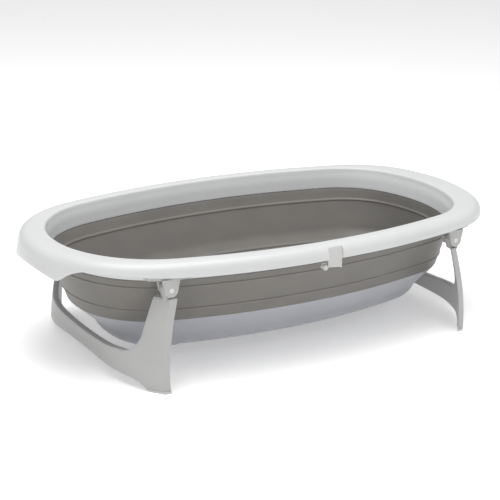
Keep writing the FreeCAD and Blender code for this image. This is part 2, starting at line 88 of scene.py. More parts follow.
class Work:
    """A piece on the bench: a mesh that is shaped in edit mode and then finished."""

    def __init__(self, name: str) -> None:
        """Takes the active object, which a primitive has just made, as the piece.

        Args:
            name: The piece's name in the finished model.
        """
        self.body: bpy.types.Object = bpy.context.active_object
        self.body.name = name
        self.body.data.name = name

    @classmethod
    def cube(cls, name: str, low: Sequence[float], high: Sequence[float]) -> "Work":
        """A block between two corners.

        Args:
            name: The piece's name.
            low: Lowest corner.
            high: Highest corner.

        Returns:
            The block, with its place in its mesh.
        """
        leave_edit_mode()
        centre = [(a + b) / 2 for a, b in zip(low, high)]
        bpy.ops.mesh.primitive_cube_add(size=1, location=centre)
        bpy.context.active_object.scale = [b - a for a, b in zip(low, high)]
        work = cls(name)
        work.settle()
        return work

    @classmethod
    def cylinder(cls, name: str, radius: float, base: Sequence[float], length: float,
                 axis: str = "Z", sides: int = 48) -> "Work":
        """A round bar from a base point along an axis.

        Args:
            name: The piece's name.
            radius: Its radius.
            base: The middle of its first end.
            length: Its length along the axis.
            axis: Y or Z.
            sides: How many flats make the round.

        Returns:
            The bar, with its place in its mesh.
        """
        leave_edit_mode()
        turn, way = {"Y": ((-math.pi / 2, 0, 0), Vector((0, 1, 0))),
                     "Z": ((0, 0, 0), Vector((0, 0, 1)))}[axis]
        bpy.ops.mesh.primitive_cylinder_add(vertices=sides, radius=radius, depth=length,
                                            location=Vector(base) + way * length / 2, rotation=turn)
        work = cls(name)
        work.settle()
        return work

    def activate(self) -> None:
        """Makes this the active piece and the only one selected."""
        leave_edit_mode()
        self.body.select_set(True)
        bpy.context.view_layer.objects.active = self.body

    def settle(self) -> None:
        """Puts the piece's place, turn and size into its mesh."""
        self.activate()
        bpy.ops.object.transform_apply(location=True, rotation=True, scale=True)

    @contextmanager
    def editing(self, mode: str = "VERT") -> Iterator[bmesh.types.BMesh]:
        """Edit mode on the piece.

        Args:
            mode: The select mode, VERT or FACE.

        Yields:
            The mesh being edited.
        """
        self.activate()
        bpy.ops.object.mode_set(mode="EDIT")
        bpy.ops.mesh.select_mode(type=mode)
        yield bmesh.from_edit_mesh(self.body.data)
        bpy.ops.object.mode_set(mode="OBJECT")

    @contextmanager
    def faces(self, test: Test) -> Iterator[None]:
        """Edit mode with only the faces selected whose middles pass a test."""
        with self.editing("FACE") as mesh:
            for face in mesh.faces:
                face.select_set(test(face.calc_center_median()))
            bmesh.update_edit_mesh(self.body.data)
            yield

    def place_selected(self, layer: str, places: Sequence[Sequence[float]]) -> None:
        """Puts each selected vertex at the place that its number in a layer points to."""
        mesh = bmesh.from_edit_mesh(self.body.data)
        number = mesh.verts.layers.int[layer]
        for vertex in mesh.verts:
            if vertex.select:
                vertex.co = places[vertex[number]]
        bmesh.update_edit_mesh(self.body.data)

    def shape(self, rule: Rule) -> "Work":
        """Moves every vertex as a rule says.

        Args:
            rule: Gives a vertex's new place from its old one.

        Returns:
            This piece.
        """
        for vertex in self.body.data.vertices:
            vertex.co = rule(vertex.co.copy())
        self.body.data.update()
        return self

    def modify(self, kind: str, **settings: Any) -> "Work":
        """Adds a modifier and applies it.

        Args:
            kind: The modifier's type.
            settings: Its settings by name.

        Returns:
            This piece.
        """
        self.activate()
        modifier = self.body.modifiers.new(kind.lower(), kind)
        for key, value in settings.items():
            setattr(modifier, key, value)
        bpy.ops.object.modifier_apply(modifier=modifier.name)
        return self

    def round_edges(self, width: float, segments: int = 3, angle: float = 35) -> "Work":
        """Rounds the piece's sharp edges.

        Args:
            width: How far the rounding reaches from the edge.
            segments: How many faces make it.
            angle: The least angle, in degrees, of an edge that is rounded.

        Returns:
            This piece.
        """
        return self.modify("BEVEL", width=width, segments=segments, limit_method="ANGLE",
                           angle_limit=math.radians(angle))

    def subdivide(self, levels: int = 1) -> "Work":
        """Smooths the piece by subdivision."""
        return self.modify("SUBSURF", levels=levels, render_levels=levels)

    def combine(self, other: "Work", operation: str = "UNION") -> "Work":
        """Joins another piece to this one, or cuts it away, and removes the other.

        Args:
            other: The tool of the operation.
            operation: UNION, DIFFERENCE or INTERSECT.

        Returns:
            This piece.
        """
        self.modify("BOOLEAN", operation=operation, object=other.body, solver="EXACT")
        bpy.data.objects.remove(other.body)
        return self

    def gather(self, others: Sequence["Work"]) -> "Work":
        """Takes other pieces into this one as separate shells."""
        self.activate()
        for other in others:
            other.body.select_set(True)
        bpy.ops.object.join()
        return self

    def copy(self, name: str, matrix: Matrix) -> "Work":
        """A moved or mirrored copy with its own mesh.

        Args:
            name: The copy's name.
            matrix: What to do to its vertices.

        Returns:
            The copy.
        """
        self.activate()
        bpy.ops.object.duplicate()
        twin = Work(name)
        twin.body.data.transform(matrix)
        if matrix.determinant() < 0:
            twin.face_outwards()
        return twin

    def face_outwards(self) -> "Work":
        """Merges doubles and turns every face outwards."""
        with self.editing():
            bpy.ops.mesh.select_all(action="SELECT")
            bpy.ops.mesh.remove_doubles(threshold=1e-6)
            bpy.ops.mesh.normals_make_consistent(inside=False)
        return self

    def fill_holes(self) -> "Work":
        """Fills every open edge loop with a face, and turns every face outwards."""
        with self.editing():
            bpy.ops.mesh.select_all(action="SELECT")
            bpy.ops.mesh.fill_holes(sides=0)
            bpy.ops.mesh.select_all(action="SELECT")
            bpy.ops.mesh.normals_make_consistent(inside=False)
        return self

    def smooth(self, angle: float) -> "Work":
        """Shades the piece smooth, apart from edges sharper than an angle in degrees."""
        self.activate()
        bpy.ops.object.shade_smooth_by_angle(angle=math.radians(angle))
        return self

    def dress(self, material: bpy.types.Material) -> "Work":
        """Gives the piece one finish all over."""
        self.body.data.materials.clear()
        self.body.data.materials.append(material)
        return self

    def hang(self, carrier: str, slot: str, node: str) -> None:
        """Puts the finished piece into the model, and logs it.

        Args:
            carrier: The body that it rides on.
            slot: Its material slot; not used.
            node: The node that it replaces.
        """
        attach(self.body, carrier)
        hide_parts(node)
        log.info("%s: %d faces", self.body.name, len(self.body.data.polygons))


# ---- shader sockets
class Value:
    """A number on a shader socket that Python arithmetic adds Math nodes to."""

    def __init__(self, recipe: "Recipe", socket: bpy.types.NodeSocket) -> None:
        """Wraps a socket of a recipe's material."""
        self.recipe = recipe
        self.socket = socket

    def _math(self, operation: str, *terms: Any) -> "Value":
        """A Math node on these terms."""
        return self.recipe.value("ShaderNodeMath", {"operation": operation}, *terms)

    def __add__(self, other: Any) -> "Value":
        """This plus another value or number."""
        return self._math("ADD", self, other)

    def __radd__(self, other: Any) -> "Value":
        """A number plus this."""
        return self._math("ADD", other, self)

    def __sub__(self, other: Any) -> "Value":
        """This less another value or number."""
        return self._math("SUBTRACT", self, other)

    def __mul__(self, other: Any) -> "Value":
        """This times another value or number."""
        return self._math("MULTIPLY", self, other)

    def clamped(self) -> "Value":
        """This kept between 0 and 1."""
        return self._math("MINIMUM", self._math("MAXIMUM", self, 0.0), 1.0)


class Recipe:
    """A material's node tree while a finish is written into it."""

    def __init__(self, name: str) -> None:
        """Starts a material that holds one Principled shader."""
        self.material = bpy.data.materials.new(name)
        self.material.use_nodes = True
        self.tree = self.material.node_tree
        self.shader = next(node for node in self.tree.nodes if node.type == "BSDF_PRINCIPLED")

    def node(self, kind: str, settings: dict[str, Any], *terms: Any, **named: Any) -> bpy.types.Node:
        """Adds a node.

        Args:
            kind: The node's type.
            settings: What is set on the node before its sockets.
            terms: Values or links of its first inputs, in order.
            named: Values or links of its inputs by name, with _ for a space.

        Returns:
            The node.
        """
        made = self.tree.nodes.new(kind)
        for key, value in settings.items():
            setattr(made, key, value)
        pairs = list(zip(made.inputs, terms))
        pairs += [(made.inputs[key.replace("_", " ")], value) for key, value in named.items()]
        for socket, value in pairs:
            self.join(value, socket)
        return made

    def join(self, source: Any, socket: bpy.types.NodeSocket) -> None:
        """Links a source to a socket, or sets a plain number or colour there."""
        if isinstance(source, Value):
            source = source.socket
        if isinstance(source, bpy.types.NodeSocket):
            self.tree.links.new(source, socket)
        else:
            socket.default_value = source

    def value(self, kind: str, settings: dict[str, Any], *terms: Any, **named: Any) -> Value:
        """Adds a node and wraps its first output."""
        return Value(self, self.node(kind, settings, *terms, **named).outputs[0])

    def noise(self, size: float, detail: float = 2.0, stretch: Sequence[float] = (1, 1, 1)) -> Value:
        """Noise over the object.

        Args:
            size: How wide one patch of it is, in metres.
            detail: How many finer layers it has.
            stretch: How much closer the patches are along X, Y and Z.

        Returns:
            The noise, about 0 to 1.
        """
        place = self.node("ShaderNodeTexCoord", {}).outputs["Object"]
        turned = self.node("ShaderNodeMapping", {}, place, Scale=stretch).outputs[0]
        return self.value("ShaderNodeTexNoise", {}, Vector=turned, Scale=1 / size, Detail=detail)

    def mix(self, factor: Value, first: Sequence[float], second: Sequence[float]) -> bpy.types.NodeSocket:
        """A colour between two colours.

        Args:
            factor: 0 for the first colour and 1 for the second.
            first: Red, green and blue.
            second: Red, green and blue.

        Returns:
            The colour's socket.
        """
        made = self.node("ShaderNodeMix", {"data_type": "RGBA"})
        self.tree.links.new(factor.socket, made.inputs["Factor"])
        made.inputs[6].default_value = (*first, 1)
        made.inputs[7].default_value = (*second, 1)
        return made.outputs[2]

    def feed(self, name: str, source: Any) -> None:
        """Joins a source to one of the shader's sockets."""
        self.join(source, self.shader.inputs[name])

    def bump(self, height: Value, depth: float) -> None:
        """Feeds the shader's normal from a height.

        Args:
            height: The height, 0 to 1.
            depth: How deep 0 to 1 is, in metres.
        """
        made = self.node("ShaderNodeBump", {}, Strength=1.0, Distance=depth, Height=height)
        self.feed("Normal", made.outputs[0])


@dataclass(frozen=True)
class MouldedPlastic:
    """Injection-moulded plastic: an even colour with faint flow marks over a fine grain."""

    name: str
    colour: tuple[float, float, float]
    flow_colour: tuple[float, float, float]
    roughness: float = 0.36
    grain_size: float = 0.0011
    grain_depth: float = 0.00003
    swell_depth: float = 0.00008

    def material(self) -> bpy.types.Material:
        """Builds the finish."""
        recipe = Recipe(self.name)
        flow = recipe.noise(0.09, 3.0, (1, 1, 2.2))
        grain = recipe.noise(self.grain_size, 2.0)
        swell = recipe.noise(0.035, 1.0)
        recipe.feed("Base Color", recipe.mix(((flow - 0.35) * 2.2).clamped(), self.colour, self.flow_colour))
        recipe.feed("Roughness", (self.roughness - 0.04) + flow * 0.05 + grain * 0.04)
        recipe.feed("Specular IOR Level", 0.45)
        height = grain * (self.grain_depth / 0.0002) + swell * (self.swell_depth / 0.0002)
        recipe.bump(height, 0.0002)
        return recipe.material


@dataclass(frozen=True)
class SoftRubber:
    """Soft thermoplastic rubber: matt, slightly mottled, with a fine sandblasted skin."""

    name: str
    colour: tuple[float, float, float]
    pale_colour: tuple[float, float, float]
    roughness: float = 0.5
    skin_size: float = 0.0009
    skin_depth: float = 0.00006
    wave_depth: float = 0.00035

    def material(self) -> bpy.types.Material:
        """Builds the finish."""
        recipe = Recipe(self.name)
        mottle = recipe.noise(0.05, 4.0, (1, 1, 1.8))
        skin = recipe.noise(self.skin_size, 3.0)
        wave = recipe.noise(0.028, 1.0, (1, 1, 0.7))
        recipe.feed("Base Color", recipe.mix(((mottle - 0.3) * 2.0).clamped(), self.colour, self.pale_colour))
        recipe.feed("Roughness", (self.roughness - 0.05) + mottle * 0.06 + skin * 0.06)
        recipe.feed("Specular IOR Level", 0.4)
        recipe.feed("Sheen Weight", 0.06)
        recipe.feed("Sheen Roughness", 0.5)
        recipe.bump(skin * (self.skin_depth / 0.0004) + wave * (self.wave_depth / 0.0004), 0.0004)
        return recipe.material


@dataclass(frozen=True)
class ZincSteel:
    """Zinc-plated steel with fine turning marks."""

    name: str
    colour: tuple[float, float, float] = (0.62, 0.62, 0.61)

    def material(self) -> bpy.types.Material:
        """Builds the finish."""
        recipe = Recipe(self.name)
        spangle = recipe.noise(0.0016, 3.0)
        recipe.feed("Base Color", recipe.mix(spangle, self.colour, tuple(0.8 * part for part in self.colour)))
        recipe.feed("Metallic", 1.0)
        recipe.feed("Roughness", 0.28 + spangle * 0.16)
        recipe.bump(recipe.noise(0.0004, 2.0), 0.00002)
        return recipe.material


class Finish(Enum):
    """The finishes of the bathtub, by the part of it that wears each one."""

    RIM = MouldedPlastic("rim_white", (0.61, 0.615, 0.615), (0.585, 0.59, 0.59), roughness=0.33)
    # Painted shade: the white tray is coloured a darker, bluish grey for the shade that it lies in.
    TRAY = MouldedPlastic("tray_white", (0.37, 0.375, 0.405), (0.35, 0.355, 0.385), roughness=0.36)
    # Painted shade: the white legs are coloured darker than the rim for the dimmer light on their upright
    # faces.
    LEG = MouldedPlastic("leg_white", (0.42, 0.42, 0.415), (0.40, 0.40, 0.395), roughness=0.42,
                         grain_depth=0.00005)
    CLIP = MouldedPlastic("clip_grey", (0.56, 0.56, 0.55), (0.52, 0.52, 0.51), roughness=0.4)
    PIN = MouldedPlastic("pin_grey", (0.62, 0.62, 0.61), (0.58, 0.58, 0.57), roughness=0.3)
    WALL = SoftRubber("wall_taupe", (0.158, 0.150, 0.137), (0.180, 0.171, 0.156))
    PLUG = SoftRubber("plug_taupe", (0.20, 0.19, 0.17), (0.22, 0.21, 0.19), roughness=0.42)
    PAD = SoftRubber("pad_grey", (0.50, 0.50, 0.49), (0.54, 0.54, 0.53), roughness=0.6)
    SCREW = ZincSteel("screw_zinc")


class Wardrobe:
    """Builds each finish once and hands it out."""

    def __init__(self) -> None:
        """Starts empty."""
        self.made: dict[Finish, bpy.types.Material] = {}

    def get(self, finish: Finish) -> bpy.types.Material:
        """The material of a finish."""
        if finish not in self.made:
            self.made[finish] = finish.value.material()
        return self.made[finish]


# ---- plan outlines
@dataclass(frozen=True)
class Egg:
    """An egg-shaped plan outline of tangent arcs, the same on both sides of the X axis.

    All sizes are in metres. The reaches are measured from the bowl's middle.
    """

    half_width: float
    foot: float
    handle: float
    side: float
    foot_end: float
    foot_corner: float
    handle_end: float
    handle_corner: float

    def inset(self, distance: float) -> "Egg":
        """The parallel outline that far inside this one."""
        return Egg(*[size - distance for size in astuple(self)])

    def towards(self, other: "Egg", share: float) -> "Egg":
        """An outline part of the way from this one to another."""
        return Egg(*[a + (b - a) * share for a, b in zip(astuple(self), astuple(other))])

    def _corner(self, end: Vector, end_radius: float, radius: float, way: int) -> Vector:
        """Centre of the arc that touches an end arc and the side arc from inside."""
        middle = Vector((0, self.half_width - self.side))
        gap = middle - end
        span = gap.length
        along = ((end_radius - radius) ** 2 - (self.side - radius) ** 2 + span ** 2) / (2 * span)
        across = math.sqrt((end_radius - radius) ** 2 - along ** 2)
        unit = gap / span
        normal = Vector((-unit.y, unit.x))
        return max((end + unit * along + normal * across, end + unit * along - normal * across),
                   key=lambda point: way * point.x)

    def arcs(self) -> list[tuple[Vector, float, float, float, int]]:
        """The outline's arcs from the foot end anticlockwise: centre, radius, start, end and steps."""
        foot = Vector((self.foot - self.foot_end, 0))
        handle = Vector((self.handle_end - self.handle, 0))
        middle = Vector((0, self.half_width - self.side))
        foot_round = self._corner(foot, self.foot_end, self.foot_corner, 1)
        handle_round = self._corner(handle, self.handle_end, self.handle_corner, -1)
        turns = [math.atan2((a - b).y, (a - b).x) for a, b in
                 ((foot_round, foot), (foot_round, middle), (handle_round, middle), (handle_round, handle))]
        arcs = [(foot, self.foot_end, -turns[0], turns[0], 20),
                (foot_round, self.foot_corner, turns[0], turns[1], 16),
                (middle, self.side, turns[1], turns[2], 30),
                (handle_round, self.handle_corner, turns[2], turns[3], 18),
                (handle, self.handle_end, turns[3], 2 * math.pi - turns[3], 44)]
        for centre, radius, start, end, steps in arcs[3:0:-1]:
            arcs.append((Vector((centre.x, -centre.y)), radius, -end, -start, steps))
        return arcs

    def points(self, middle: float) -> list[Vector]:
        """The outline as evenly stepped points, as many on every outline.

        Args:
            middle: Where the bowl's middle is along X.

        Returns:
            The points, anticlockwise from the foot end.
        """
        points = []
        for centre, radius, start, end, steps in self.arcs():
            for step in range(steps):
                turn = start + (end - start) * step / steps
                points.append(Vector((middle + centre.x + radius * math.cos(turn),
                                      centre.y + radius * math.sin(turn), 0)))
        return points


RIM_OUTER = Egg(0.233, 0.410, 0.426, 1.050, 0.285, 0.155, 0.240, 0.200)
RIM_INNER = Egg(0.201, 0.356, 0.379, 1.010, 0.240, 0.130, 0.217, 0.167)
BOWL = Egg(0.198, 0.350, 0.376, 1.000, 0.235, 0.125, 0.215, 0.165)
TRAY = Egg(0.163, 0.339, 0.347, 0.980, 0.225, 0.105, 0.205, 0.125)
TRAY_FLOOR = Egg(0.132, 0.306, 0.303, 0.940, 0.200, 0.085, 0.190, 0.090)


@dataclass(frozen=True)
class Level:
    """One ring of a shell: an outline at a height, pulled down and out at the handle's lip."""

    outline: Egg
    z: float
    droop: float = 0.0
    flare: float = 0.0


class Closing(Enum):
    """How the first and last rings of a shell are closed."""

    SECTION = "joined to each other, for a wall that goes round"
    OPEN = "left open, to be filled across once the shell is smooth"


LIP_FULL = 0.083            # half the width over which the handle's lip is at its deepest
LIP_END = 0.117             # half the width at which it has gone


def lip_share(y: float) -> float:
    """How much of the handle's lip there is at a place across it.

    The lip is full in the middle, ends in a steep corner, and arches up a little beside the corner.
    """
    past = min(1.0, max(0.0, (abs(y) - LIP_FULL) / (LIP_END - LIP_FULL)))
    arch = smoothstep(0.095, 0.125, abs(y)) * (1 - smoothstep(0.150, 0.210, abs(y)))
    depth = 0.5 + 0.5 * min(1.0, abs(y) / LIP_FULL) ** 2
    return depth * (1 - math.sin(math.pi / 2 * past ** 0.6)) - 0.32 * arch


def ring_points(level: Level, middle: float) -> list[Vector]:
    """The vertices of one ring.

    Args:
        level: The ring.
        middle: Where the bowl's middle is along X.

    Returns:
        The ring's points.
    """
    places = []
    for near, far in zip(level.outline.points(middle), level.outline.inset(-level.flare).points(middle)):
        lip = lip_share(near.y) if near.x < middle else 0.0
        place = near.lerp(far, lip)
        place.z = level.z - level.droop * lip
        places.append(place)
    return places


def ring_shell(name: str, levels: Sequence[Level], closing: Closing, middle: float) -> Work:
    """A shell made by extruding a ring from level to level.

    Args:
        name: The piece's name.
        levels: Its rings in order.
        closing: What joins the first and last rings.
        middle: Where the bowl's middle is along X.

    Returns:
        The shell.
    """
    leave_edit_mode()
    count = len(levels[0].outline.points(middle))
    bpy.ops.mesh.primitive_circle_add(vertices=count, radius=0.3)
    work = Work(name)
    work.settle()
    with work.editing() as mesh:
        station = mesh.verts.layers.int.new("station")
        for vertex in mesh.verts:
            vertex[station] = vertex.index
        bmesh.update_edit_mesh(work.body.data)
        bpy.ops.mesh.select_all(action="SELECT")
        for number, level in enumerate(levels):
            if number:
                bpy.ops.mesh.extrude_edges_move()
            work.place_selected("station", ring_points(level, middle))
        if closing is Closing.SECTION:
            bpy.ops.mesh.select_mode(type="EDGE")
            mesh = bmesh.from_edit_mesh(work.body.data)
            for edge in mesh.edges:
                edge.select_set(edge.is_boundary)
            bmesh.update_edit_mesh(work.body.data)
            bpy.ops.mesh.bridge_edge_loops()
        bpy.ops.mesh.select_all(action="SELECT")
        bpy.ops.mesh.normals_make_consistent(inside=False)
    return work


# ---- rim
@dataclass
class Rim:
    """The rigid rim: a rolled lip, a hollow underside, an inner collar and a deep lip to lift by."""

    wardrobe: Wardrobe
    middle: float
    top: float
    skirt_bottom: float = 0.183
    bowl_top: float = 0.1685
    lip_droop: float = 0.019
    lip_flare: float = 0.004
    wall: float = 0.0028
    roll_out: float = 0.017
    roll_down: float = 0.017
    roll_droop: float = 0.25        # how much of the lip's droop its roll takes part in
    notch_half: float = 0.0135
    notch_depth: float = 0.0065     # how far the notch reaches in past the clip's face

    def skirt(self, inset: float, rise: float, droop: float = 1.0, flare: float = 1.0) -> Level:
        """A ring of the skirt: its inset, its rise over the foot, and its shares of the lip."""
        return Level(RIM_OUTER.inset(inset), self.skirt_bottom + rise,
                     self.lip_droop * droop, self.lip_flare * flare)

    def roll(self, turns: Sequence[int], inset: float, out: float, down: float) -> list[Level]:
        """The rings of one face of the roll between the skirt and the top.

        Args:
            turns: How far round each ring is, in degrees.
            inset: How far the face is inside the outline where the roll starts.
            out: The roll's reach in plan.
            down: Its reach in height.

        Returns:
            The rings, in the order of the turns.
        """
        levels = []
        for turn in turns:
            reach = math.radians(turn)
            levels.append(Level(RIM_OUTER.inset(inset + out * (1 - math.cos(reach))),
                                self.top - self.roll_down + down * math.sin(reach),
                                self.lip_droop * self.roll_droop * (1 - math.sin(reach))))
        return levels

    def outside(self) -> list[Level]:
        """The rings from the skirt's foot over the top to the collar's foot."""
        levels = [self.skirt(0.0006, 0), self.skirt(0, 0.0008), self.skirt(0, 0.003, 0.7, 0.8)]
        levels += self.roll(range(0, 91, 15), 0, self.roll_out, self.roll_down)
        for inset, drop in ((-0.009, 0), (-0.0035, 0.0002), (-0.0008, 0.0012),
                            (0.0004, 0.0036), (0.0012, 0.009)):
            levels.append(Level(RIM_INNER.inset(inset), self.top - drop))
        for share in (0.45, 0.75):
            z = self.top + (self.bowl_top - self.top) * share
            levels.append(Level(RIM_INNER.towards(BOWL, share).inset(0.0028), z))
        levels += [Level(BOWL.inset(0.003), self.bowl_top + 0.002),
                   Level(BOWL.inset(0.003), self.bowl_top + 0.0004)]
        return levels

    def inside(self) -> list[Level]:
        """The rings of the hidden side, back from the collar's foot to the skirt's foot."""
        levels = [Level(BOWL.inset(0.0028), self.bowl_top), Level(BOWL, self.bowl_top),
                  Level(BOWL.inset(-0.0002), self.bowl_top + 0.002),
                  Level(RIM_INNER.inset(-0.003), self.top - 0.012),
                  Level(RIM_INNER.inset(-0.006), self.top - self.wall),
                  Level(RIM_INNER.inset(-0.012), self.top - self.wall)]
        levels += self.roll(range(90, -1, -18), self.wall, self.roll_out - 0.001, self.roll_down - self.wall)
        levels += [self.skirt(self.wall, 0.003, 0.7, 0.8), self.skirt(self.wall, 0.0008),
                   self.skirt(self.wall - 0.0006, 0)]
        return levels

    def notch(self) -> Work:
        """The cutter for the notch that the side clip sits in."""
        low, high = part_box("side_clip")
        centre = high.x - 0.0132
        cutter = Work.cube("notch", (centre - self.notch_half, -0.25, self.skirt_bottom - 0.02),
                           (centre + self.notch_half, low.y + self.notch_depth, self.top + 0.004))
        return cutter.round_edges(0.003, 4)

    def bosses(self) -> list[Work]:
        """The screw bosses under the rim, one over each bracket screw."""
        made = []
        for x, y in screw_places():
            boss = Work.cylinder("boss", 0.0045, (x, y, self.skirt_bottom + 0.002),
                                 self.top - self.wall - self.skirt_bottom - 0.003, sides=24)
            made.append(boss.round_edges(0.0005, 2))
        return made

    def build(self) -> None:
        """Models, dresses and hangs the rim."""
        rim = ring_shell("rim_shell", self.outside() + self.inside(), Closing.SECTION, self.middle)
        rim.subdivide(1)
        rim.combine(self.notch(), "DIFFERENCE")
        rim.gather(self.bosses())
        rim.smooth(38).dress(self.wardrobe.get(Finish.RIM))
        rim.hang("rim_body", "white_shell", "rim")


SCREW_HEAD = 0.004          # radius of a bracket screw's head
SCREW_HALF = 0.021          # how far a bracket's screws are from its hinge along X


def screw_places() -> list[tuple[float, float]]:
    """Where the bracket screws are in plan, two to a bracket.

    Returns:
        The X and Y of each screw's axis.
    """
    places = []
    low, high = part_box("bracket_screws")
    for end in ("handle", "foot"):
        pin_low, pin_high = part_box(f"hinge_pin_{end}_front")
        hinge = (pin_low.x + pin_high.x) / 2
        for side in (low.y + SCREW_HEAD, high.y - SCREW_HEAD):
            places += [(hinge - SCREW_HALF, side), (hinge + SCREW_HALF, side)]
    return places


# ---- soft wall
@dataclass
class SoftWall:
    """The soft wall: one moulding that folds at its bead lines and lines the tray's inside."""

    wardrobe: Wardrobe
    middle: float
    top: float = 0.1685
    bottom: float = 0.089
    upper_hinge: float = 0.158
    lower_hinge: float = 0.111
    thickness: float = 0.0026
    bead: float = 0.0017
    outer_lines: tuple[float, float] = (0.154, 0.110)
    inner_lines: tuple[float, float] = (0.148, 0.079)
    outer_half: float = 0.0022      # half the width of a bead outside
    inner_half: float = 0.0030      # and inside
    liner_low: float = 0.0515
    liner_wall: float = 0.0014
    tray_wall: float = 0.003

    def outline(self, z: float) -> Egg:
        """The outside of the wall at a height over the tray."""
        return BOWL.towards(TRAY, (self.top - z) / (self.top - self.bottom))

    def tray_inside(self, z: float) -> Egg:
        """The inside of the tray at a height over the liner's end."""
        radius = 0.033
        turn = math.radians(75)
        low = TRAY_FLOOR.inset(self.tray_wall + radius * (1 - math.sin(turn)) * 0.9)
        return low.towards(TRAY.inset(self.tray_wall), (z - self.liner_low) / (self.bottom - self.liner_low))

    def rise(self, z: float, lines: Sequence[float], half: float) -> float:
        """How far a face stands out at a height, next to its bead lines."""
        near = min(abs(z - line) for line in lines)
        return self.bead * (0.5 + 0.5 * math.cos(math.pi * min(1.0, near / half)))

    def heights(self, lines: Sequence[float], high: float, low: float, half: float) -> list[float]:
        """Heights from high to low, close together at the bead lines.

        Args:
            lines: The bead lines.
            high: The first height.
            low: The last height.
            half: Half of a bead's width.

        Returns:
            The heights, falling.
        """
        marks = {high, low}
        for line in lines:
            marks.update(line + half * share for share in (-1.3, -1.0, -0.66, -0.33, 0, 0.33, 0.66, 1.0, 1.3))
        step = 0.006
        for number in range(1, int((high - low) / step)):
            z = high - number * step
            if all(abs(z - line) > half * 1.3 + 0.0015 for line in lines):
                marks.add(z)
        return sorted((z for z in marks if low <= z <= high), reverse=True)

    def build(self) -> None:
        """Models and dresses the wall, and hides the imported bands and liner that it stands for."""
        lap = self.bottom + 0.0002
        end = self.liner_low + 0.0005
        levels = [Level(self.outline(z).inset(-self.rise(z, self.outer_lines, self.outer_half)), z)
                  for z in self.heights(self.outer_lines, self.top, lap, self.outer_half)]
        levels += [Level(self.outline(lap).inset(0.0004), lap),
                   Level(TRAY.inset(self.tray_wall - 0.0004), lap),
                   Level(self.tray_inside(self.bottom - 0.001), self.bottom - 0.001),
                   Level(self.tray_inside(0.070), 0.070), Level(self.tray_inside(end), end)]
        inner = []
        for z in self.heights(self.inner_lines, self.top, end, self.inner_half):
            out = self.rise(z, self.inner_lines, self.inner_half)
            lined = self.tray_inside(z).inset(self.liner_wall + out)
            open_wall = self.outline(z).inset(self.thickness + out)
            share = smoothstep(self.bottom - 0.002, self.bottom + 0.012, z)
            inner.append(Level(lined.towards(open_wall, share), z))
        levels += inner[::-1]
        wall = ring_shell("soft_wall", levels, Closing.SECTION, self.middle)
        wall.subdivide(1).smooth(50).dress(self.wardrobe.get(Finish.WALL))
        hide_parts("wall_upper_band", "wall_fold_band", "wall_lower_band", "wall_liner")
        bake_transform(wall.body)
        log.info("%s: %d faces", wall.body.name, len(wall.body.data.polygons))


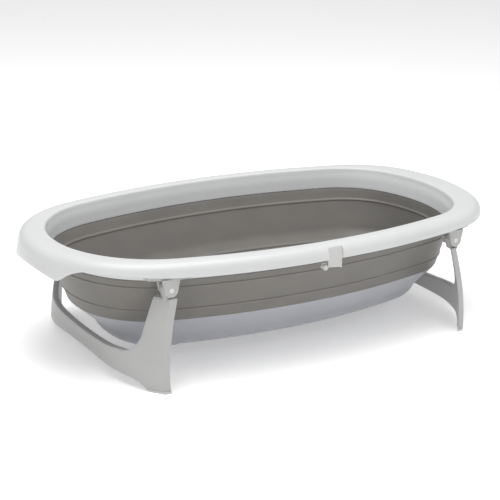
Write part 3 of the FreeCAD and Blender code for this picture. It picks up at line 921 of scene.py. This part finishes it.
# ---- tray and drain
@dataclass
class Tray:
    """The rigid tray with its drain seat, plug, seal and pads."""

    wardrobe: Wardrobe
    middle: float
    top: float = 0.089
    bottom: float = 0.024
    edge_radius: float = 0.036
    wall: float = 0.003
    flange_width: float = 0.005     # how far the drain seat's flange stands out of its sleeve
    flange_depth: float = 0.0015
    gap: float = 0.0001

    def side(self, inset: float) -> list[Level]:
        """The rings of one face from its floor up to the top edge."""
        radius = self.edge_radius - inset
        levels = [Level(TRAY_FLOOR.inset(inset + radius * 0.9 + extra), self.bottom + inset)
                  for extra in (0.045, 0.02, 0.004)]
        for turn in range(0, 76, 15):
            reach = math.radians(turn)
            levels.append(Level(TRAY_FLOOR.inset(inset + radius * (1 - math.sin(reach)) * 0.9),
                                self.bottom + inset + radius * (1 - math.cos(reach))))
        start = levels[-1]
        for share in (0.35, 0.7, 0.93, 0.985):
            levels.append(Level(start.outline.towards(TRAY.inset(inset), share),
                                start.z + (self.top - start.z) * share))
        levels.append(Level(TRAY.inset(inset), self.top))
        return levels

    def build_tray(self) -> None:
        """Models the tray with its drain hole."""
        levels = self.side(0) + self.side(self.wall)[::-1]
        tray = ring_shell("tray_shell", levels, Closing.OPEN, self.middle)
        tray.subdivide(1).fill_holes()
        low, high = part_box("drain_seat")
        centre, flange = (low.x + high.x) / 2, (high.x - low.x) / 2
        tray.combine(Work.cylinder("hole", flange - self.flange_width + self.gap,
                                   (centre, 0, self.bottom - 0.01), 0.03, sides=64), "DIFFERENCE")
        tray.combine(Work.cylinder("recess", flange + self.gap, (centre, 0, high.z - self.flange_depth),
                                   0.01, sides=72), "DIFFERENCE")
        tray.smooth(35).dress(self.wardrobe.get(Finish.TRAY))
        tray.hang("tray_body", "tray_shell", "tray")

    def build_drain(self) -> None:
        """Models the drain seat, the plug and its seal."""
        low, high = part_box("drain_seat")
        centre = (low.x + high.x) / 2
        flange = (high.x - low.x) / 2
        seat = Work.cylinder("drain_ring", flange, (centre, 0, high.z - self.flange_depth),
                             self.flange_depth, sides=72)
        seat.combine(Work.cylinder("sleeve", flange - self.flange_width, (centre, 0, low.z),
                                   high.z - low.z - 0.0002, sides=72))
        seat.combine(Work.cylinder("way", flange - self.flange_width - self.wall,
                                   (centre, 0, low.z - 0.01), 0.03, sides=72), "DIFFERENCE")
        seat.round_edges(0.0005, 2, 50).smooth(35).dress(self.wardrobe.get(Finish.TRAY))
        seat.hang("tray_body", "tray_shell", "drain_seat")
        self.build_plug(centre)
        self.build_seal(centre)

    def build_plug(self, centre: float) -> None:
        """Models the plug: a shallow cap with a pinched grip over a hollow stem."""
        low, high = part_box("drain_plug")
        floor = self.bottom + self.wall
        plug = Work.cylinder("plug_cap", 0.020, (centre, 0, floor), 0.0025, sides=72)
        with plug.faces(lambda at: at.z > floor + 0.0024):
            step_in(0.003, -0.0006)
            step_in(0.007, 0.0006)
        plug.round_edges(0.0006, 2, 30)
        stem = Work.cylinder("stem", 0.013, (centre, 0, low.z), floor + 0.0005 - low.z, sides=48)
        with stem.faces(lambda at: at.z < low.z + 1e-5):
            step_in(0.002, 0.005)
        grip = Work.cube("grip", (centre - 0.009, -0.0015, floor + 0.0012), (centre + 0.009, 0.0015, high.z))
        with grip.faces(lambda at: at.z > high.z - 1e-5):
            bpy.ops.transform.resize(value=(0.72, 0.8, 1))
        grip.round_edges(0.0012, 3)
        plug.combine(stem).combine(grip)
        plug.smooth(35).dress(self.wardrobe.get(Finish.PLUG))
        plug.hang("plug_body", "plug_plastic", "drain_plug")

    @staticmethod
    def taper_lip(place: Vector, centre: float, middle: float, outer: float) -> Vector:
        """Thins a ring towards its rim, where its lip bends down a little.

        Args:
            place: A place on the ring.
            centre: The middle of the ring along X.
            middle: The height of the ring's middle.
            outer: Its outer radius.

        Returns:
            The place in the lipped ring.
        """
        share = smoothstep(outer - 0.0027, outer, math.hypot(place.x - centre, place.y))
        return Vector((place.x, place.y, middle + (place.z - middle) * (1 - 0.65 * share) - 0.0006 * share))

    def build_seal(self, centre: float) -> None:
        """Models the plug's seal, a lipped ring round its stem."""
        low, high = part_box("plug_seal")
        outer, middle = (high.x - low.x) / 2, (low.z + high.z) / 2
        leave_edit_mode()
        bpy.ops.mesh.primitive_torus_add(location=(centre, 0, middle), major_segments=72, minor_segments=16,
                                         major_radius=outer - 0.00135, minor_radius=0.0013)
        seal = Work("plug_ring")
        seal.settle()
        seal.shape(lambda at: self.taper_lip(at, centre, middle, outer))
        seal.smooth(60).dress(self.wardrobe.get(Finish.PAD))
        seal.hang("plug_body", "pad_rubber", "plug_seal")

    def build_pads(self) -> None:
        """Models the six non-slip pads under the tray as one set."""
        low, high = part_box("tray_pads")
        radius = 0.011
        pads = []
        for x in (low.x + radius, self.middle, high.x - radius):
            for y in (low.y + radius, high.y - radius):
                pad = Work.cylinder("tray_feet", radius, (x, y, low.z), high.z - low.z, sides=48)
                with pad.faces(lambda at: at.z < low.z + 1e-5):
                    for _ in range(3):
                        bpy.ops.mesh.inset(thickness=0.0022)
                        step_in(0.0006, 0.0004)
                pads.append(pad.round_edges(0.0004, 2))
        pads[0].gather(pads[1:]).smooth(35).dress(self.wardrobe.get(Finish.PAD))
        pads[0].hang("tray_body", "pad_rubber", "tray_pads")


# ---- leg frames
def arc_through(start: Vector, via: Vector, end: Vector, steps: int) -> list[Vector]:
    """Points on the arc from one point through a second to a third.

    Args:
        start: The first point, (Y, Z).
        via: A point on the way.
        end: The last point.
        steps: How many equal steps the arc has.

    Returns:
        The points, with both ends.
    """
    first, second = via - start, end - start
    spread = 2 * (first.x * second.y - first.y * second.x)
    centre = start + Vector((second.y * first.length_squared - first.y * second.length_squared,
                             first.x * second.length_squared - second.x * first.length_squared)) / spread
    arm = start - centre
    turn = math.atan2(arm.x * (end - centre).y - arm.y * (end - centre).x, arm.dot(end - centre))
    if spread * turn < 0:
        turn += math.copysign(2 * math.pi, spread)
    points = []
    for step in range(steps + 1):
        part = turn * step / steps
        points.append(centre + Vector((arm.x * math.cos(part) - arm.y * math.sin(part),
                                       arm.x * math.sin(part) + arm.y * math.cos(part))))
    return points


def straight(start: Vector, end: Vector, steps: int) -> list[Vector]:
    """Points on the line between two points, with both ends."""
    return [start.lerp(end, step / steps) for step in range(steps + 1)]


def strip(name: str, near: Sequence[Vector], far: Sequence[Vector], cuts: int) -> Work:
    """A flat strip of faces between two edges in the YZ plane, extruded along them.

    Args:
        name: The piece's name.
        near: The points of one edge, (Y, Z).
        far: As many points of the other edge.
        cuts: How many cuts run along the strip.

    Returns:
        The strip.
    """
    leave_edit_mode()
    bpy.ops.mesh.primitive_plane_add(size=0.1)
    work = Work(name)
    with work.editing() as mesh:
        bpy.ops.mesh.select_all(action="DESELECT")
        mesh = bmesh.from_edit_mesh(work.body.data)
        side = mesh.verts.layers.int.new("side")
        mesh.verts.ensure_lookup_table()
        for index, point in enumerate((near[0], far[0], near[1], far[1])):
            vertex = mesh.verts[index]
            vertex.co = (0, *point)
            vertex[side] = index % 2
            vertex.select_set(index > 1)
        mesh.select_flush_mode()
        bmesh.update_edit_mesh(work.body.data)
        for near_point, far_point in zip(near[2:], far[2:]):
            bpy.ops.mesh.extrude_edges_move()
            work.place_selected("side", [(0, *near_point), (0, *far_point)])
        bpy.ops.mesh.select_mode(type="EDGE")
        bpy.ops.mesh.select_all(action="DESELECT")
        mesh = bmesh.from_edit_mesh(work.body.data)
        side = mesh.verts.layers.int["side"]
        for edge in mesh.edges:
            edge.select_set(edge.verts[0][side] != edge.verts[1][side])
        bmesh.update_edit_mesh(work.body.data)
        bpy.ops.mesh.subdivide(number_cuts=cuts)
    return work


@dataclass
class Legs:
    """The two bent leg frames, each a moulded sheet with a U opening and two hinge eyes."""

    wardrobe: Wardrobe
    thickness: float = 0.011
    flat_half: float = 0.080        # half of the straight middle of the cross panel, in plan
    foot_out: float = 0.033         # how far a foot stands outside its hinge
    bow: float = 0.029              # how far the cross panel bows out past the hinges
    shoulder: float = 0.0135        # how far under the pin a column's full width starts
    eye_radius: float = 0.010
    eye_width: float = 0.015
    neck_half: float = 0.009
    bore: float = 0.00405           # radius of the hole that a hinge pin runs in
    pad_height: float = 0.004
    half_width: float = 0.207
    hinge: Vector = field(init=False)
    far_hinge: Vector = field(init=False)

    def __post_init__(self) -> None:
        """Reads the places of the front hinges from the frame."""
        self.hinge, self.far_hinge = [sum(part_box(f"hinge_pin_{end}_front"), Vector()) / 2
                                      for end in ("handle", "foot")]

    def side_out(self, z: float) -> float:
        """How far a column stands out of its hinge at a height."""
        share = 1 - z / (self.hinge.z - self.shoulder)
        turn = math.pi / 2 * min(1.0, max(0.0, 0.09 + share * 0.95))
        return self.foot_out * math.sin(turn) - 0.0015 * share

    def plan_out(self, y: float) -> float:
        """How far the frame bows out of its hinge line at a place across it."""
        run = -self.hinge.y - self.flat_half
        radius = (run ** 2 + self.bow ** 2) / (2 * self.bow)
        past = max(0.0, abs(y) - self.flat_half)
        return self.bow - (radius - math.sqrt(radius ** 2 - past ** 2))

    def opening_edge(self) -> list[Vector]:
        """Half of the U opening's edge, from the middle of the panel to the column's top."""
        shelf = Vector((0.124, 0.055))
        wall = Vector((0.164, 0.092))
        top = Vector((0.167, self.hinge.z - self.shoulder))
        panel = arc_through(Vector((-shelf.x, shelf.y)), Vector((0, 0.048)), shelf, 24)[12:]
        corner = arc_through(shelf, Vector((0.153, 0.066)), wall, 12)[1:]
        return panel + corner + straight(wall, top, 14)[1:]

    def outer_edge(self) -> list[Vector]:
        """Half of the outer edge, in as many points, with the foot on the way."""
        heel = Vector((0.158, 0.0150))
        sole = Vector((0.1801, self.pad_height))
        toe = Vector((self.half_width - 0.0003, self.pad_height))
        bend = Vector((0.203, 0.060))
        top = Vector((0.195, self.hinge.z - self.shoulder))
        panel = arc_through(Vector((-heel.x, heel.y)), Vector((0, 0.021)), heel, 24)[12:]
        foot = arc_through(heel, Vector((0.170, 0.0110)), sole, 3)[1:] + straight(sole, toe, 5)[1:]
        side = straight(toe, bend, 6)[1:] + straight(bend, top, 12)[1:]
        return panel + foot + side

    def bend(self, place: Vector) -> Vector:
        """Bends a place of the flat sheet to the frame's plan and side shapes."""
        out = self.plan_out(place.y) + self.side_out(place.z)
        return Vector((self.hinge.x - out + place.x, place.y, place.z))

    def sheet(self) -> Work:
        """Models the bent sheet of the handle end's frame."""
        sheet = strip("leg_sheet", self.opening_edge(), self.outer_edge(), 7)
        sheet.modify("MIRROR", use_axis=(False, True, False), merge_threshold=1e-5)
        sheet.face_outwards()
        sheet.modify("SOLIDIFY", thickness=self.thickness, offset=0, use_even_offset=False)
        sheet.round_edges(0.0022, 3, 60)
        return sheet.shape(self.bend)

    def eye(self) -> Work:
        """Models the eye and neck at the top of the front column."""
        front = self.hinge.y - self.eye_width / 2
        back = self.hinge.y + self.eye_width / 2
        foot = self.hinge.z - self.shoulder - 0.004
        x, z = self.hinge.x, self.hinge.z
        neck = Work.cube("neck", (x - self.neck_half, front, foot), (x + self.neck_half, back, z))
        neck.shape(lambda at: at - Vector((0.006, 0, 0)) if at.z < foot + 1e-5 and at.x > x else at)
        eye = Work.cylinder("eye", self.eye_radius, (x, front, z), self.eye_width, "Y").combine(neck)
        bore = Work.cylinder("bore", self.bore, (x, front - 0.005, z), 0.03, "Y", 40)
        return eye.combine(bore, "DIFFERENCE").round_edges(0.0008, 2, 50)

    def build(self) -> None:
        """Models, dresses and hangs both frames."""
        eye = self.eye()
        twin = eye.copy("eye_back", Matrix.Scale(-1, 4, (0, 1, 0)))
        handle = self.sheet()
        handle.gather([eye, twin])
        across = Matrix.Translation((self.hinge.x + self.far_hinge.x, 0, 0)) @ Matrix.Scale(-1, 4, (1, 0, 0))
        foot = handle.copy("leg_sheet_foot", across)
        for work, end in ((handle, "handle"), (foot, "foot")):
            work.body.name = f"bent_leg_{end}"
            work.smooth(40).dress(self.wardrobe.get(Finish.LEG))
            work.hang(f"leg_{end}_body", "leg_plastic", f"leg_frame_{end}")


# ---- fittings
@dataclass
class Fittings:
    """The small fittings, which keep their shapes and get their finishes here."""

    wardrobe: Wardrobe

    def dress(self) -> None:
        """Gives every fitting its finish."""
        finishes = {"bracket_screws": Finish.SCREW, "side_clip": Finish.CLIP}
        for end in ("handle", "foot"):
            for side in ("front", "back"):
                finishes[f"bracket_{end}_{side}"] = Finish.LEG
                finishes[f"hinge_pin_{end}_{side}"] = Finish.PIN
                finishes[f"foot_pad_{end}_{side}"] = Finish.PAD
        for name, finish in finishes.items():
            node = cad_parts[name]
            node.data.materials.clear()
            node.data.materials.append(self.wardrobe.get(finish))
            log.info("dressed %s in %s", name, finish.name)


# ---- studio
@dataclass(frozen=True)
class PaleFloor:
    """A pale, seamless studio floor."""

    name: str = "floor_pale"

    def material(self) -> bpy.types.Material:
        """Builds the finish."""
        recipe = Recipe(self.name)
        cloud = recipe.noise(0.8, 2.0)
        recipe.feed("Base Color", recipe.mix(cloud, (0.93, 0.93, 0.93), (0.91, 0.91, 0.91)))
        recipe.feed("Roughness", 0.7 + cloud * 0.1)
        recipe.feed("Specular IOR Level", 0.2)
        recipe.feed("Emission Color", (1, 1, 1, 1))
        recipe.feed("Emission Strength", 0.28)
        return recipe.material


@dataclass
class Studio:
    """The floor, the soft lights and the camera."""

    target: tuple[float, float, float] = (0.0020, 0.0051, 0.1267)
    azimuth: float = -31.28
    elevation: float = 18.27
    distance: float = 2.540
    roll: float = 1.21
    lens: float = 106.0
    shift: tuple[float, float] = (-0.0076, 0.0039)
    surroundings: float = 0.5       # how bright the white world is
    lamps: tuple[tuple[str, tuple[float, float, float], float, float], ...] = (
        ("overhead", (-0.2, -0.3, 2.6), 2.2, 66),
        ("left_fill", (-2.4, -1.6, 1.2), 1.6, 6),
        ("right_fill", (2.6, -1.2, 1.4), 1.6, 5))

    def lay_floor(self) -> None:
        """Lays the floor under the feet."""
        leave_edit_mode()
        bpy.ops.mesh.primitive_plane_add(size=14)
        floor = bpy.context.active_object
        floor.name = "studio_floor"
        floor.data.materials.append(PaleFloor().material())

    def add_light(self, name: str, place: Sequence[float], size: float, power: float) -> None:
        """Adds a square soft light that faces the bath.

        Args:
            name: The light's name.
            place: Where it is.
            size: The length of its side.
            power: Its power in watts.
        """
        leave_edit_mode()
        facing = (Vector((0, 0, 0.12)) - Vector(place)).to_track_quat("-Z", "Y").to_euler()
        bpy.ops.object.light_add(type="AREA", location=place, rotation=facing)
        lamp = bpy.context.active_object
        lamp.name = name
        lamp.data.shape = "SQUARE"
        lamp.data.size = size
        lamp.data.energy = power

    def light(self) -> None:
        """Sets the white surroundings and the soft lights."""
        world = bpy.data.worlds.new("studio_white")
        world.use_nodes = True
        background = world.node_tree.nodes["Background"].inputs
        background["Color"].default_value = (1, 1, 1, 1)
        background["Strength"].default_value = self.surroundings
        scene = bpy.context.scene
        scene.world = world
        scene.view_settings.view_transform = "Standard"
        for name, place, size, power in self.lamps:
            self.add_light(name, place, size, power)

    def aim_camera(self) -> None:
        """Sets the camera up."""
        turn, lift, roll = (math.radians(angle) for angle in (self.azimuth, self.elevation, self.roll))
        back = Vector((math.sin(turn) * math.cos(lift), -math.cos(turn) * math.cos(lift), math.sin(lift)))
        level = Vector((math.cos(turn), math.sin(turn), 0))
        rise = back.cross(level)
        right = level * math.cos(roll) + rise * math.sin(roll)
        up = back.cross(right)
        matrix = Matrix((right, up, back)).transposed().to_4x4()
        matrix.translation = Vector(self.target) + back * self.distance
        leave_edit_mode()
        bpy.ops.object.camera_add()
        camera = bpy.context.active_object
        camera.name = "product_camera"
        camera.matrix_world = matrix
        camera.data.lens = self.lens
        camera.data.sensor_width = 36
        camera.data.shift_x, camera.data.shift_y = self.shift
        bpy.context.scene.camera = camera

    def build(self) -> None:
        """Sets the whole studio up."""
        self.lay_floor()
        self.light()
        self.aim_camera()


# ---- the whole bath
@dataclass
class Bathtub:
    """The whole bathtub."""

    wardrobe: Wardrobe = field(default_factory=Wardrobe)
    pad_reach: float = 0.216        # from the end of the tray's pads to the bowl's middle

    def build(self) -> None:
        """Builds and dresses every piece."""
        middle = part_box("tray_pads")[0].x + self.pad_reach
        rim_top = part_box("rim")[1].z
        tray = Tray(self.wardrobe, middle)
        Rim(self.wardrobe, middle, rim_top).build()
        SoftWall(self.wardrobe, middle).build()
        tray.build_tray()
        tray.build_drain()
        tray.build_pads()
        Legs(self.wardrobe).build()
        Fittings(self.wardrobe).dress()


def write_sizes() -> None:
    """Updates the view layer."""
    bpy.context.view_layer.update()


def main() -> None:
    """Builds the bathtub and its studio."""
    logging.basicConfig(level=logging.INFO, format="%(name)s %(message)s")
    Bathtub().build()
    Studio().build()
    write_sizes()


if __name__ == "__main__":
    main()
